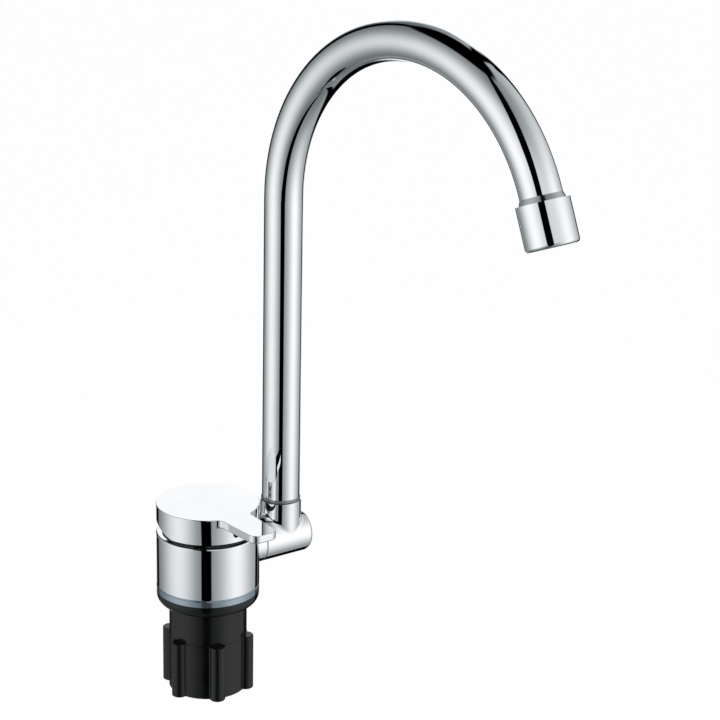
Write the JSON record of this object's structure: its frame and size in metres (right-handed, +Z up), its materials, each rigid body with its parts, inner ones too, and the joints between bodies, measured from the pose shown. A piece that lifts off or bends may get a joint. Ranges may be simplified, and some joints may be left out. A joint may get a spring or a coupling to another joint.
{
  "type": "folding caravan tap",
  "caption": "Chromed single-lever deck tap with a tall hooked spout that swivels and folds flat on a side elbow, clamped through the worktop by a ribbed black nut.",
  "frame": {"origin": "on the body's axis at the deck face, the underside of the base ring's lip", "axes": "+Z up along the body's axis; the lever points to -Y, the user; the folding elbow stands out to +X; the hook is turned 5.5 degrees from -Y towards +X"},
  "size_m": [0.0921, 0.1977, 0.3208],
  "materials": {
    "chrome_plate": "polished chrome plate on brass",
    "ring_plastic": "glossy blue-grey moulding",
    "black_nylon": "semi-gloss black moulded nylon",
    "black_rubber": "smooth black rubber",
    "white_acetal": "moulded white acetal",
    "disc_ceramic": "lapped alumina",
    "brass": "turned brass",
    "steel": "plain stainless steel",
    "satin_nickel": "satin nickel plate on brass",
    "grey_acetal": "moulded grey acetal"
  },
  "bodies": {
    "body": {"valve_body": "chrome_plate", "base_ring": "ring_plastic", "deck_seal": "black_rubber", "shank": "black_nylon", "inlet_seals": "black_rubber", "cartridge_base": "white_acetal", "fixed_disc": "disc_ceramic", "cartridge_housing": "white_acetal", "cartridge_o_ring": "black_rubber", "retaining_nut": "brass", "dome_cover": "black_nylon", "pivot_spindle": "brass", "pivot_o_rings": "black_rubber", "pivot_washers": "grey_acetal"},
    "swing": {"carrier": "white_acetal", "stem_pin": "steel"},
    "lever": {"handle": "chrome_plate", "grub_screw": "steel", "stem": "brass"},
    "disc": {"moving_disc": "disc_ceramic", "disc_driver": "white_acetal"},
    "elbow": {"elbow": "chrome_plate", "elbow_end_plug": "chrome_plate", "slip_ring": "grey_acetal"},
    "spout": {"spout_tail": "brass", "spout_o_rings": "black_rubber", "snap_ring": "steel", "spout_tube": "chrome_plate", "outlet_neck": "satin_nickel", "aerator_washer": "black_rubber", "aerator_insert": "white_acetal", "aerator_housing": "chrome_plate"},
    "clamp": {"clamp_washer": "black_rubber", "clamp_sleeve": "black_nylon"},
    "nut": {"fixing_nut": "black_nylon"}
  },
  "joints": [
    {"name": "handle_swing", "type": "hinge", "parent": "body", "child": "swing", "pos_m": [0, 0, 0.028], "axis": [0, 0, 1], "range_deg": [-45, 45]},
    {"name": "handle_lift", "type": "hinge", "parent": "swing", "child": "lever", "pos_m": [0, 0, 0.028], "axis": [-1, 0, 0], "range_deg": [0, 17]},
    {"name": "disc_slide", "type": "slide", "parent": "swing", "child": "disc", "axis": [0, -1, 0], "range_m": [0, 0.00208]},
    {"name": "spout_fold", "type": "hinge", "parent": "body", "child": "elbow", "pos_m": [0.041, 0, 0.0175], "axis": [1, 0, 0], "range_deg": [-90, 90]},
    {"name": "spout_swivel", "type": "hinge", "parent": "elbow", "child": "spout", "pos_m": [0.041, 0, 0.036], "axis": [0, 0, 1], "continuous": true},
    {"name": "clamp_travel", "type": "slide", "parent": "body", "child": "clamp", "axis": [0, 0, -1], "range_m": [0, 0.018]},
    {"name": "nut_turn", "type": "hinge", "parent": "clamp", "child": "nut", "pos_m": [0, 0, -0.035], "axis": [0, 0, -1], "range_deg": [0, 3241]}
  ],
  "couplings": [
    {"joint": "disc_slide", "follows": "handle_lift", "m_per_rad": 0.007},
    {"joint": "nut_turn", "follows": "clamp_travel", "rad_per_m": 3141.6}
  ]
}
